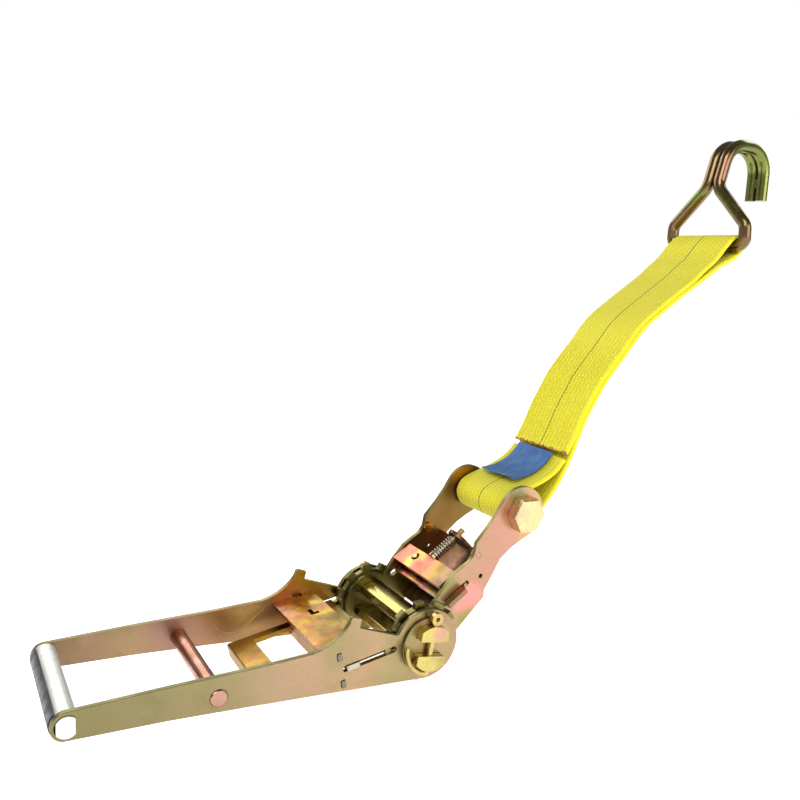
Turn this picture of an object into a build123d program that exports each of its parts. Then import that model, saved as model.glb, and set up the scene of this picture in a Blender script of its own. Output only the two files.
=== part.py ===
from build123d import *
import os
from math import cos, sin, radians, sqrt, degrees, atan2, pi

os.makedirs("parts", exist_ok=True)

# Heavy duty ratchet tie down, short end: long wide handle, base frame,
# webbing spindle with two ratchet wheels, drive and lock pawls, sewn strap
# and double J hook.
# Frame: origin on the spindle axis, mid width. +X runs from the grip towards
# the strap, +Y is the right-hand side, +Z is up. Millimetres.

# ---------------------------------------------------------------- dimensions
HANDLE_OUT = 38.0        # half width over the handle plates
HANDLE_T = 3.0
HANDLE_IN = HANDLE_OUT - HANDLE_T
FRAME_OUT = 29.3         # half width over the frame plates
FRAME_T = 3.0
FRAME_IN = FRAME_OUT - FRAME_T
HUB_R = 19.5             # round end of the handle plates
FRAME_HUB_R = 17.5
BORE_R = 12.48           # spindle bore in both pairs of plates
SPINDLE_R = 12.4
SPINDLE_HALF_W = 8.7     # half the width of each mandrel half
SLOT_HALF = 4.0          # half the webbing slot between the mandrel halves
SPINDLE_END = 45.0
SPINDLE_TILT = -10.0     # the slot's slope at rest, degrees
WHEEL_IN, WHEEL_OUT = 29.6, 33.2
WHEEL_TIP_R, WHEEL_ROOT_R = 22.6, 19.0
TEETH = 11
PITCH = 360.0 / TEETH
VALLEY0 = 178.6          # direction of the valley under the drive pawl
WASHER_R, WASHER_T = 15.5, 1.6

FRAME_ANGLE = 44.35      # slope of the frame, hub to anchor bolt
BOLT_U = 92.0            # hub to anchor bolt
BOLT_R = 7.0
BOSS_R = 15.3

BLADE_T = 2.8            # pawl blade thickness
PAWL_GAP = 0.2           # play above and below a blade in its slot
TIP_REST = 23.0          # blade tips stand here, clear of the teeth
PAWL_TRAVEL = 3.8
DRIVE_ANGLE = 190.26     # direction of the drive pawl line, hub to grip
DRIVE_N = 4.45           # its distance from the spindle axis
LOCK_ANGLE = FRAME_ANGLE - 9.26
LOCK_N = 4.8
ROD_N = 12.4             # the lock pawl's guide rod, above the pawl line

GRIP_X, GRIP_Z, GRIP_R = -183.0, -3.3, 6.9
ROD_X, ROD_Z, ROD_R = -115.2, -5.2, 4.3

WEB_HALF = 25.0          # 50 mm webbing
WEB_T = 2.75             # one layer
WIRE_R = 4.0             # hook wire
BAR_X, BAR_Z = 230.4, 224.6
J_Y = 4.15

# ---------------------------------------------------------------- planes
def xz(y):
    """XZ plane at this y, looking along +Y; extrude(amount=-t) goes to +Y."""
    return Plane(origin=(0, y, 0), x_dir=(1, 0, 0), z_dir=(0, -1, 0))


def tilted(y, angle):
    """As xz(), with its first axis turned up by angle."""
    a = radians(angle)
    return Plane(origin=(0, y, 0), x_dir=(cos(a), 0, sin(a)), z_dir=(0, -1, 0))


def plan(angle, n):
    """Plane along a pawl line: first axis outward from the hub, normal up."""
    a = radians(angle)
    s_dir = (cos(a), 0, sin(a))
    n_dir = (-sin(a), 0, cos(a)) if cos(a) > 0 else (sin(a), 0, -cos(a))
    return Plane(origin=(n * n_dir[0], 0, n * n_dir[2]), x_dir=s_dir, z_dir=n_dir)


def side(y, angle):
    """Plane seen from -Y whose axes are (outward, up) for a pawl line."""
    a = radians(angle)
    if cos(a) > 0:
        return Plane(origin=(0, y, 0), x_dir=(cos(a), 0, sin(a)), z_dir=(0, -1, 0))
    return Plane(origin=(0, y, 0), x_dir=(cos(a), 0, sin(a)), z_dir=(0, 1, 0))


def polar(r, deg):
    return (r * cos(radians(deg)), r * sin(radians(deg)))


def uv_to_xz(u, v):
    a = radians(FRAME_ANGLE)
    return (u * cos(a) - v * sin(a), u * sin(a) + v * cos(a))


def finish(part, name):
    part.label = name
    export_step(part, "parts/" + name + ".step")


# ---------------------------------------------------------------- handle plates
HANDLE_TOP = [(-17.75, 8.1), (-41.0, 16.6), (-39.9, 21.3), (-45.6, 23.3),
              (-46.9, 19.8), (-48.8, 17.2), (-51.2, 14.9), (-53.9, 12.8),
              (-57.2, 10.7), (-62.1, 8.6), (-67.0, 7.3), (-94.0, 6.1),
              (-137.0, 5.2), (-178.5, 3.75), (-182.0, 3.52)]
HANDLE_END = (GRIP_X - GRIP_R, GRIP_Z)
HANDLE_LOW = [(-184.6, -10.0), (-140.0, -11.2), (-100.0, -13.3),
              (-60.0, -15.7), (-28.0, -17.8), (-2.0, -19.4)]

for name, y0 in (("handle_plate_left", -HANDLE_OUT), ("handle_plate_right", HANDLE_IN)):
    with BuildPart() as plate:
        with BuildSketch(xz(y0)):
            with BuildLine():
                Polyline(*HANDLE_TOP)
                ThreePointArc(HANDLE_TOP[-1], HANDLE_END, HANDLE_LOW[0])
                Polyline(*HANDLE_LOW)
                ThreePointArc(HANDLE_LOW[-1], (HUB_R, 0), HANDLE_TOP[0])
            make_face()
            Circle(BORE_R, mode=Mode.SUBTRACT)
            with Locations((ROD_X, ROD_Z)):
                Circle(ROD_R, mode=Mode.SUBTRACT)
        extrude(amount=-HANDLE_T)
        # D hole for the grip's tenon
        with BuildSketch(xz(y0)):
            with Locations((GRIP_X, GRIP_Z)):
                Circle(5.2)
            with Locations((GRIP_X + 3.7 + 5, GRIP_Z)):
                Rectangle(10, 20, mode=Mode.SUBTRACT)
        extrude(amount=-HANDLE_T, mode=Mode.SUBTRACT)
        # long slot for the drive pawl's ears and blade, and the tab holes
        sgn = 1 if y0 > 0 else -1
        ylow = y0
        with BuildSketch(side(ylow, DRIVE_ANGLE)):
            with Locations(((18.1 + 49.9) / 2, DRIVE_N)):
                SlotOverall(49.9 - 18.1, BLADE_T + 2 * PAWL_GAP)
            with Locations((50.75, 12.0), (50.75, -3.4)):
                Rectangle(2.5, 4.0)
        extrude(amount=HANDLE_T, mode=Mode.SUBTRACT)
        outer_edges = plate.edges().filter_by(Axis.Y).group_by(Axis.Z)[-1]
        fillet(outer_edges, 1.2)
    finish(plate.part, name)

# ---------------------------------------------------------------- grip
with BuildPart() as grip_bar:
    with BuildSketch(xz(-HANDLE_IN)):
        with Locations((GRIP_X, GRIP_Z)):
            Circle(GRIP_R)
        with Locations((GRIP_X + 4.4 + 5, GRIP_Z)):
            Rectangle(10, 20, mode=Mode.SUBTRACT)
        with Locations((GRIP_X - 4.5 - 5, GRIP_Z)):
            Rectangle(10, 20, mode=Mode.SUBTRACT)
    extrude(amount=-2 * HANDLE_IN)
    with BuildSketch(xz(-HANDLE_OUT - 0.7)):
        with Locations((GRIP_X, GRIP_Z)):
            Circle(5.2)
        with Locations((GRIP_X + 3.7 + 5, GRIP_Z)):
            Rectangle(10, 20, mode=Mode.SUBTRACT)
        with Locations((GRIP_X - 4.5 - 5, GRIP_Z)):
            Rectangle(10, 20, mode=Mode.SUBTRACT)
    extrude(amount=-2 * (HANDLE_OUT + 0.7))
finish(grip_bar.part, "grip_bar")

with BuildPart() as grip_cover:
    with BuildSketch(xz(-HANDLE_IN + 0.2)):
        with Locations((GRIP_X, GRIP_Z)):
            Circle(GRIP_R + 0.5)
        with Locations((GRIP_X - 4.5 + 10, GRIP_Z)):
            Rectangle(20, 20, mode=Mode.SUBTRACT)
    extrude(amount=-2 * (HANDLE_IN - 0.2))
finish(grip_cover.part, "grip_cover")

with BuildPart() as cross_rod:
    with BuildSketch(xz(-HANDLE_OUT - 0.8)):
        with Locations((ROD_X, ROD_Z)):
            Circle(ROD_R)
    extrude(amount=-2 * (HANDLE_OUT + 0.8))
    chamfer(cross_rod.edges().filter_by(GeomType.CIRCLE), 0.6)
finish(cross_rod.part, "cross_rod")

# ---------------------------------------------------------------- drive pawl
D_LO, D_HI = DRIVE_N - BLADE_T / 2, DRIVE_N + BLADE_T / 2
with BuildPart() as drive_pawl:
    with BuildSketch(plan(DRIVE_ANGLE, D_LO)):
        with BuildLine():
            Polyline((TIP_REST, -34.5), (40.3, -34.5), (40.3, -38.7), (47.9, -38.7),
                     (47.9, -26.2), (91.0, -26.2), (91.0, 26.2), (47.9, 26.2),
                     (47.9, 38.7), (40.3, 38.7), (40.3, 34.5), (TIP_REST, 34.5),
                     close=True)
        make_face()
        # window for the bracket's web and for the fingers
        with Locations(((46.5 + 77.5) / 2, 0)):
            Rectangle(77.5 - 46.5, 41.0, mode=Mode.SUBTRACT)
        # pockets for the two springs
        with Locations(((37.5 + 47.5) / 2, -11.0), ((37.5 + 47.5) / 2, 11.0)):
            Rectangle(10.0, 7.0, mode=Mode.SUBTRACT)
    extrude(amount=BLADE_T)
    # folded finger pull: a flange down at the window and at the rear
    with BuildSketch(plan(DRIVE_ANGLE, -1.2)):
        with Locations((89.9, 0)):
            Rectangle(2.2, 50.0)
        with Locations((78.6, 0)):
            Rectangle(2.2, 41.0)
    extrude(amount=D_LO + 1.2 + 0.5)
    # spring guide fingers
    with BuildSketch(plan(DRIVE_ANGLE, DRIVE_N - 1.0)):
        with Locations((40.5, -11.0), (40.5, 11.0)):
            Rectangle(7.0, 2.0)
    extrude(amount=2.0)
    rear = drive_pawl.edges().filter_by(Axis.Y).sort_by(Axis.X)[:3]
    fillet(rear.sort_by(Axis.Z)[-1], 1.2)
finish(drive_pawl.part, "drive_pawl")

with BuildPart() as drive_springs:
    for ys in (-11.0, 11.0):
        with BuildSketch(Plane(origin=plan(DRIVE_ANGLE, DRIVE_N).origin
                               + Vector(0, ys, 0)
                               + plan(DRIVE_ANGLE, DRIVE_N).x_dir * 37.7,
                               x_dir=(0, 1, 0),
                               z_dir=plan(DRIVE_ANGLE, DRIVE_N).x_dir)):
            Circle(3.0)
            Circle(2.1, mode=Mode.SUBTRACT)
        extrude(amount=11.6)
finish(drive_springs.part, "drive_pawl_springs")

# ---------------------------------------------------------------- bracket
with BuildPart() as bracket:
    with BuildSketch(plan(DRIVE_ANGLE, -5.6)):
        with Locations((50.75, 0)):
            Rectangle(2.5, 2 * HANDLE_IN)
    extrude(amount=5.6 + 16.0)
    # top plate
    with BuildSketch(plan(DRIVE_ANGLE, 13.5)):
        with BuildLine():
            Polyline((34.5, HANDLE_IN), (59.0, HANDLE_IN), (59.0, -HANDLE_IN),
                     (47.0, -HANDLE_IN), (45.2, -31.5), (41.6, -31.5), (40.4, -HANDLE_IN),
                     (36.0, -HANDLE_IN), (34.5, -33.0), close=True)
        make_face()
        with Locations((45.4, -9.5)):
            Rectangle(2.4, 7.0, mode=Mode.SUBTRACT)
        with Locations((43.4, -7.1)):
            Rectangle(3.4, 2.4, mode=Mode.SUBTRACT)
    extrude(amount=2.5)
    # side windows in the web for the pawl's arms
    with BuildSketch(side(-HANDLE_IN - 1, DRIVE_ANGLE)):
        with Locations((50.75, DRIVE_N)):
            Rectangle(4.0, BLADE_T + 0.8)
    extrude(amount=HANDLE_IN + 1 - 19.5, mode=Mode.SUBTRACT)
    with BuildSketch(side(19.5, DRIVE_ANGLE)):
        with Locations((50.75, DRIVE_N)):
            Rectangle(4.0, BLADE_T + 0.8)
    extrude(amount=HANDLE_IN + 1 - 19.5, mode=Mode.SUBTRACT)
    # staked tabs through the handle plates
    with BuildSketch(side(-HANDLE_OUT - 0.6, DRIVE_ANGLE)):
        with Locations((50.75, 12.0), (50.75, -3.4)):
            Rectangle(2.5, 4.0)
    extrude(amount=2 * HANDLE_OUT + 1.2)
    with BuildSketch(side(-HANDLE_IN + 1.0, DRIVE_ANGLE)):
        with Locations((50.75, -7.6)):
            Rectangle(6.0, 4.0)
    extrude(amount=2 * HANDLE_IN - 2.0, mode=Mode.SUBTRACT)
finish(bracket.part, "handle_bracket")

# ---------------------------------------------------------------- frame plates
FRAME_TOP = [polar(FRAME_HUB_R, 21.0), (20.0, 6.6), (27.0, 7.8), (38.0, 8.8),
             (45.0, 7.4), (50.0, 6.0), (54.7, 6.9), (60.0, 10.8), (72.0, 11.7),
             (80.6, 12.9), (88.2, 14.82)]
FRAME_LOW = [(88.0, -14.77), (85.6, -14.0), (80.0, -12.1), (72.3, -10.1), (64.0, -9.4),
             (59.9, -10.6), (55.0, -12.1), (49.3, -13.5), (44.8, -14.8), (42.3, -17.5),
             (0.0, -FRAME_HUB_R)]
for name, y0 in (("frame_plate_left", -FRAME_OUT), ("frame_plate_right", FRAME_IN)):
    with BuildPart() as fplate:
        with BuildSketch(tilted(y0, FRAME_ANGLE)):
            with BuildLine():
                Polyline(*FRAME_TOP)
                ThreePointArc(FRAME_TOP[-1], (BOLT_U + BOSS_R, 0), FRAME_LOW[0])
                Polyline(*FRAME_LOW)
                ThreePointArc(FRAME_LOW[-1], (-FRAME_HUB_R, 0), FRAME_TOP[0])
            make_face()
            Circle(BORE_R, mode=Mode.SUBTRACT)
            with Locations((BOLT_U, 0)):
                Circle(BOLT_R, mode=Mode.SUBTRACT)
            with Locations((49.0, -6.2)):
                Circle(1.3, mode=Mode.SUBTRACT)
            with Locations((56.2, 4.2)):
                Circle(1.6, mode=Mode.SUBTRACT)
        extrude(amount=-FRAME_T)
        with BuildSketch(side(y0, LOCK_ANGLE)):
            with Locations(((18.4 + 41.5) / 2, LOCK_N)):
                SlotOverall(41.5 - 18.4, BLADE_T + 2 * PAWL_GAP)
        extrude(amount=-FRAME_T, mode=Mode.SUBTRACT)
    finish(fplate.part, name)

with BuildPart() as bridge:
    # one folded plate between the frame plates: floor, riser and shelf
    with BuildSketch(tilted(-FRAME_IN, FRAME_ANGLE)):
        with BuildLine():
            Polyline((15.6, -17.3), (42.3, -17.3), (42.6, -8.0), (61.5, -8.0), (61.5, -5.5),
                     (40.1, -5.5), (39.8, -14.8), (15.6, -14.8), close=True)
        make_face()
    extrude(amount=-2 * FRAME_IN)
    # round-topped lug that carries the guide rod
    a = radians(FRAME_ANGLE)
    with BuildSketch(Plane(origin=(59.0 * cos(a), 0, 59.0 * sin(a)),
                           x_dir=(0, 1, 0), z_dir=(cos(a), 0, sin(a)))):
        with Locations((0, -3.0)):
            Rectangle(15.0, 6.0)
        Circle(7.5)
        with Locations((0, -12.0)):
            Rectangle(40, 12.0, mode=Mode.SUBTRACT)
    extrude(amount=2.5)
    # clearance for the guide rod, which slides along the pawl line
    with BuildSketch(Plane(origin=plan(LOCK_ANGLE, ROD_N).origin
                           + plan(LOCK_ANGLE, ROD_N).x_dir * 50,
                           x_dir=(0, 1, 0), z_dir=plan(LOCK_ANGLE, ROD_N).x_dir)):
        Circle(2.2)
    extrude(amount=20, mode=Mode.SUBTRACT)
finish(bridge.part, "frame_bridge")

with BuildPart() as rivets:
    with BuildSketch(tilted(-FRAME_OUT, FRAME_ANGLE)):
        with Locations((56.2, 4.2)):
            Circle(1.6)
    extrude(amount=-FRAME_T)
    with BuildSketch(tilted(-FRAME_IN, FRAME_ANGLE)):
        with Locations((56.2, 4.2)):
            Circle(3.0)
    extrude(amount=-1.3)
    with BuildSketch(tilted(FRAME_IN, FRAME_ANGLE)):
        with Locations((56.2, 4.2)):
            Circle(1.6)
    extrude(amount=-FRAME_T)
    with BuildSketch(tilted(FRAME_IN - 1.3, FRAME_ANGLE)):
        with Locations((56.2, 4.2)):
            Circle(3.0)
    extrude(amount=-1.3)
finish(rivets.part, "frame_rivets")

with BuildPart() as bolt:
    with BuildSketch(tilted(-FRAME_OUT - 8.0, FRAME_ANGLE)):
        with Locations((BOLT_U, 0)):
            RegularPolygon(9.5, 6, major_radius=False, rotation=15)
    extrude(amount=-8.0)
    chamfer(bolt.faces().sort_by(Axis.Y)[0].edges(), 0.7)
    with BuildSketch(tilted(-FRAME_OUT, FRAME_ANGLE)):
        with Locations((BOLT_U, 0)):
            Circle(BOLT_R)
    extrude(amount=-(2 * FRAME_OUT + 5.3))
finish(bolt.part, "anchor_bolt")

with BuildPart() as nut:
    with BuildSketch(tilted(FRAME_OUT, FRAME_ANGLE)):
        with Locations((BOLT_U, 0)):
            RegularPolygon(11.5, 6, major_radius=False, rotation=5)
            Circle(BOLT_R, mode=Mode.SUBTRACT)
    extrude(amount=-5.0)
    chamfer(nut.faces().sort_by(Axis.Y)[-1].edges().filter_by(GeomType.LINE), 0.6)
finish(nut.part, "anchor_nut")

# ---------------------------------------------------------------- lock pawl
L_LO, L_HI = LOCK_N - BLADE_T / 2, LOCK_N + BLADE_T / 2
with BuildPart() as lock_pawl:
    # blade with an ear out through each frame plate
    with BuildSketch(plan(LOCK_ANGLE, L_LO)):
        with BuildLine():
            Polyline((TIP_REST, -34.2), (36.6, -34.2), (36.6, -25.9), (39.0, -25.9),
                     (39.0, 25.9), (36.6, 25.9), (36.6, 34.2), (TIP_REST, 34.2), close=True)
        make_face()
    extrude(amount=BLADE_T)
    # rear wall and the broad top plate over it
    with BuildSketch(side(-25.9, LOCK_ANGLE)):
        with BuildLine():
            Polyline((39.0, L_LO), (39.0, 13.6), (26.0, 13.6), (26.0, 11.1),
                     (36.5, 11.1), (36.5, L_LO), close=True)
        make_face()
    extrude(amount=-51.8)
    with BuildSketch(plan(LOCK_ANGLE, 10.0)):
        with Locations((34.0, 11.0)):
            Circle(2.7)
    extrude(amount=10.0, mode=Mode.SUBTRACT)
finish(lock_pawl.part, "lock_pawl")

with BuildPart() as lock_pin:
    with BuildSketch(plan(LOCK_ANGLE, 9.6)):
        with Locations((34.0, 11.0)):
            Circle(1.9)
    extrude(amount=4.9)
    with BuildSketch(plan(LOCK_ANGLE, 9.6)):
        with Locations((34.0, 11.0)):
            Circle(3.4)
        with Locations((38.4, 11.0)):
            Rectangle(4.0, 8.0, mode=Mode.SUBTRACT)
    extrude(amount=1.5)
    fillet(lock_pin.edges().filter_by(GeomType.CIRCLE).sort_by(Axis.Z)[-1], 0.5)
finish(lock_pin.part, "lock_pawl_pin")

LP = plan(LOCK_ANGLE, ROD_N)
with BuildPart() as lock_rod:
    with BuildSketch(Plane(origin=LP.origin + LP.x_dir * 39.0, x_dir=(0, 1, 0), z_dir=LP.x_dir)):
        Circle(1.9)
    extrude(amount=25.5)
    with BuildSketch(Plane(origin=LP.origin + LP.x_dir * 39.0, x_dir=(0, 1, 0), z_dir=LP.x_dir)):
        Circle(3.2)
    extrude(amount=1.2)
finish(lock_rod.part, "lock_guide_rod")

with BuildPart() as lock_spring:
    with BuildSketch(Plane(origin=LP.origin + LP.x_dir * 40.3, x_dir=(0, 1, 0), z_dir=LP.x_dir)):
        Circle(3.3)
        Circle(2.3, mode=Mode.SUBTRACT)
    extrude(amount=15.6)
finish(lock_spring.part, "lock_pawl_spring")

# ---------------------------------------------------------------- spindle
def half_profile(sign):
    """One mandrel half's section: outer arc about the axis, flat on the slot."""
    xw, zl = SPINDLE_HALF_W, SLOT_HALF
    zt = sqrt(SPINDLE_R ** 2 - xw ** 2)
    with BuildSketch() as section:
        with BuildLine():
            Polyline((-xw, sign * zt), (-xw, sign * zl), (xw, sign * zl), (xw, sign * zt))
            ThreePointArc((xw, sign * zt), (0, sign * SPINDLE_R), (-xw, sign * zt))
        make_face()
    return section.sketch


HALVES = {1: half_profile(1), -1: half_profile(-1)}
tilt = radians(SPINDLE_TILT)
for name, sign in (("spindle_half_upper", 1), ("spindle_half_lower", -1)):
    with BuildPart() as half:
        with BuildSketch(tilted(-SPINDLE_END, SPINDLE_TILT)):
            add(HALVES[sign])
        extrude(amount=-2 * SPINDLE_END)
        # rounded long edges at the slot, so the webbing isn't cut
        long_edges = half.edges().filter_by(Axis.Y)
        fillet(long_edges, 0.9)
        # cross holes for the cotter pins
        for yc in (-42.4, 42.4):
            with BuildSketch(Plane(origin=(20 * sin(tilt), yc, -20 * cos(tilt)),
                                   x_dir=(0, 1, 0),
                                   z_dir=(-sin(tilt), 0, cos(tilt)))):
                Circle(1.6)
            extrude(amount=40, mode=Mode.SUBTRACT)
    finish(half.part, name)

for name, y0 in (("ratchet_wheel_left", -WHEEL_OUT), ("ratchet_wheel_right", WHEEL_IN)):
    with BuildPart() as wheel:
        pts = []
        for k in range(TEETH):
            c = VALLEY0 + PITCH / 2 + k * PITCH
            pts += [polar(WHEEL_ROOT_R, c - 9.2), polar(WHEEL_TIP_R, c - 6.8),
                    polar(WHEEL_TIP_R, c + 6.8), polar(WHEEL_ROOT_R, c + 9.2)]
        with BuildSketch(xz(y0)):
            with BuildLine():
                Polyline(*pts, close=True)
            make_face()
        extrude(amount=-(WHEEL_OUT - WHEEL_IN))
        with BuildSketch(tilted(y0, SPINDLE_TILT)):
            add(HALVES[1])
        extrude(amount=-(WHEEL_OUT - WHEEL_IN), mode=Mode.SUBTRACT)
        with BuildSketch(tilted(y0, SPINDLE_TILT)):
            add(HALVES[-1])
        extrude(amount=-(WHEEL_OUT - WHEEL_IN), mode=Mode.SUBTRACT)
    finish(wheel.part, name)

for name, y0 in (("spindle_washer_left", -HANDLE_OUT - 0.3 - WASHER_T),
                 ("spindle_washer_right", HANDLE_OUT + 0.3)):
    with BuildPart() as washer:
        with BuildSketch(tilted(y0, SPINDLE_TILT)):
            Circle(WASHER_R)
        extrude(amount=-WASHER_T)
        with BuildSketch(tilted(y0, SPINDLE_TILT)):
            add(HALVES[1])
        extrude(amount=-WASHER_T, mode=Mode.SUBTRACT)
        with BuildSketch(tilted(y0, SPINDLE_TILT)):
            add(HALVES[-1])
        extrude(amount=-WASHER_T, mode=Mode.SUBTRACT)
    finish(washer.part, name)

for name, yc in (("cotter_pin_left", -42.4), ("cotter_pin_right", 42.4)):
    with BuildPart() as cotter:
        with BuildSketch(Plane(origin=(14.4 * sin(tilt), yc, -14.4 * cos(tilt)),
                               x_dir=(0, 1, 0), z_dir=(-sin(tilt), 0, cos(tilt)))):
            Circle(1.5)
        extrude(amount=27.6)
        # the eye above
        eye = (-15.9 * sin(tilt), yc, 15.9 * cos(tilt))
        with BuildSketch(Plane(origin=(eye[0], yc, eye[2]), x_dir=(cos(tilt), 0, sin(tilt)),
                               z_dir=(0, -1, 0))):
            Circle(3.4)
            Circle(1.3, mode=Mode.SUBTRACT)
        extrude(amount=1.3, both=True)
        # the leg, bent round the end of the mandrel
        with BuildSketch(Plane(origin=(0, yc, 0), x_dir=(cos(radians(170)), 0, sin(radians(170))),
                               z_dir=(-sin(radians(170)), 0, cos(radians(170))))):
            with Locations((14.4, 0)):
                Circle(1.2)
        revolve(axis=Axis((0, yc, 0), (0, -1, 0)), revolution_arc=92)
    finish(cotter.part, name)

# ---------------------------------------------------------------- strap
bx, bz = uv_to_xz(BOLT_U, 0)
FRONT = [(101.2, 98.0), (104.4, 105.8), (109.4, 117.3), (116.4, 129.6), (122.3, 139.2),
         (131.5, 150.4), (139.2, 159.2), (146.4, 168.2), (154.0, 175.8), (167.0, 184.9),
         (180.7, 193.9), (194.8, 203.0), (208.0, 210.6), (215.0, 217.2), (220.6, 224.6)]
BACK = [(105.6, 93.6), (109.5, 103.4), (114.3, 114.9), (120.9, 126.6), (126.6, 135.6),
        (135.4, 146.7), (143.2, 155.6), (150.4, 164.4), (157.6, 171.5), (170.2, 180.4),
        (183.6, 189.3), (197.4, 198.3), (210.9, 205.9), (219.0, 212.6), (226.0, 218.6)]
R_IN = BOLT_R + 0.3
R_OUT = R_IN + WEB_T
with BuildPart() as strap:
    with BuildSketch(xz(-WEB_HALF)):
        with BuildLine():
            front = Spline(*FRONT)
            t0 = (BAR_X - 7.3, BAR_Z + 1.9)
            Line(FRONT[-1], t0)
            ThreePointArc(t0, (BAR_X + 5.6, BAR_Z + 5.0), (BAR_X - 1.0, BAR_Z - 7.5))
            Line((BAR_X - 1.0, BAR_Z - 7.5), BACK[-1])
            back = Spline(*reversed(BACK))
            # open eye round the anchor bolt
            p_back = [(102.5, 86.6), (98.0, 78.6), (92.5, 71.0), (85.6, 63.2), (79.0, 57.4),
                      (73.6, 54.2)]
            Line(BACK[0], p_back[0])
            lower = Spline(*p_back)
            ThreePointArc(p_back[-1], (bx - R_OUT * 0.94, bz - R_OUT * 0.34),
                          (bx - 3.0, bz + R_OUT - 0.45))
            p_front = [(bx - 3.0, bz + R_OUT - 0.45), (70.5, 77.0), (79.8, 80.0),
                       (87.6, 83.3), (94.0, 88.4)]
            upper = Spline(*p_front)
            Polyline(p_front[-1], FRONT[0])
        make_face()
        # inside of the eye
        with BuildLine():
            q_front = [(bx - 2.2, bz + R_IN - 0.35), (71.4, 74.3), (80.6, 77.2), (89.0, 80.9),
                       (95.4, 86.0)]
            Spline(*q_front)
            Line(q_front[-1], (99.6, 87.4))
            q_back = [(99.6, 87.4), (95.6, 80.2), (90.3, 72.8), (83.6, 65.3), (77.4, 59.8),
                      (72.0, 56.9)]
            Spline(*q_back)
            ThreePointArc(q_back[-1], (bx - R_IN * 0.94, bz - R_IN * 0.34), q_front[0])
        make_face(mode=Mode.SUBTRACT)
        with Locations((bx, bz)):
            Circle(R_IN, mode=Mode.SUBTRACT)
        with Locations((BAR_X, BAR_Z)):
            Circle(WIRE_R + 0.3, mode=Mode.SUBTRACT)
    extrude(amount=-2 * WEB_HALF)
finish(strap.part, "strap_webbing")

with BuildPart() as label_:
    with BuildSketch(xz(-15.5)):
        with BuildLine():
            l_low = [(70.2, 77.3), (79.4, 80.4), (87.0, 83.7), (93.4, 88.8), (99.6, 97.0)]
            l_top = [(98.8, 97.6), (92.8, 89.5), (86.6, 84.5), (79.1, 81.2), (69.9, 78.1)]
            Spline(*l_low)
            Line(l_low[-1], l_top[0])
            Spline(*l_top)
            Line(l_top[-1], l_low[0])
        make_face()
    extrude(amount=-33.0)
finish(label_.part, "strap_label")

# ---------------------------------------------------------------- hook
with BuildPart() as hook:
    for sy in (-1, 1):
        with BuildLine() as path:
            FilletPolyline((BAR_X, 0, BAR_Z), (BAR_X, sy * 30.2, BAR_Z),
                           (BAR_X - 0.4, sy * 29.6, BAR_Z + 13.5),
                           (BAR_X + 0.2, sy * J_Y, 263.0), (238.5, sy * J_Y, 291.6),
                           (274.9, sy * J_Y, 291.6), (274.9, sy * J_Y, 257.5),
                           radius=[6.0, 7.0, 12.0, 16.5, 17.0])
        with BuildSketch(Plane(origin=(BAR_X, 0, BAR_Z), x_dir=(1, 0, 0), z_dir=(0, 1, 0))):
            Circle(WIRE_R)
        sweep(path=path.line)
finish(hook.part, "hook_wire")

with BuildPart() as weld:
    with BuildSketch(Plane(origin=(274.9, 0, 266.0), x_dir=(1, 0, 0), z_dir=(0, 0, 1))):
        Ellipse(2.6, 1.6)
    extrude(amount=6.0)
    with BuildSketch(Plane(origin=(274.9, 0, 260.0), x_dir=(1, 0, 0), z_dir=(0, 0, 1))):
        with Locations((0, J_Y), (0, -J_Y)):
            Circle(WIRE_R)
    extrude(amount=20.0, mode=Mode.SUBTRACT)
finish(weld.part, "hook_weld")
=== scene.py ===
import math
import random

import bpy
import numpy as np
from mathutils import Matrix, Vector


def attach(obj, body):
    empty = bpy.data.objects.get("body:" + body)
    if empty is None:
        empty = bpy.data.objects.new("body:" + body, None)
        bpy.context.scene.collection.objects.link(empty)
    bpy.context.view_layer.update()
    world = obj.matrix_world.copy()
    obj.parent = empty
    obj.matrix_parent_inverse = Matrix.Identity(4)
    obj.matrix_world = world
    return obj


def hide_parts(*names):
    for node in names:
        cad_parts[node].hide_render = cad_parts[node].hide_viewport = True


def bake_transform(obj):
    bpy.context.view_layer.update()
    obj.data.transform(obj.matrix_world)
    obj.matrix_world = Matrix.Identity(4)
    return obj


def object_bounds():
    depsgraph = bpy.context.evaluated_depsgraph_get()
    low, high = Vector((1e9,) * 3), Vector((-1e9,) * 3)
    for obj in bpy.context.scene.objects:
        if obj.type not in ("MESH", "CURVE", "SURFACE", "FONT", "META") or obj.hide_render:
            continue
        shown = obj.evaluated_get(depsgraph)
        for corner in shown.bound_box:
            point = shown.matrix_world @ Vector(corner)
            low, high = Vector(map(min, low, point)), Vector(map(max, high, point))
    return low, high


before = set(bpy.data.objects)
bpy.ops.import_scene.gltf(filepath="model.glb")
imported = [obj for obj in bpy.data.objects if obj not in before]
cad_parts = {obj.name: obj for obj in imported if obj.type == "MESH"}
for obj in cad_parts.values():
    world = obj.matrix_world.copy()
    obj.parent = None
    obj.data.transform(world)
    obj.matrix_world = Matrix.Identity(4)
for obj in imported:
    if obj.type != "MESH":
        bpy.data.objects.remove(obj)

cad_lo, cad_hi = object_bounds()
scene = bpy.context.scene
MM = 0.001

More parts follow.
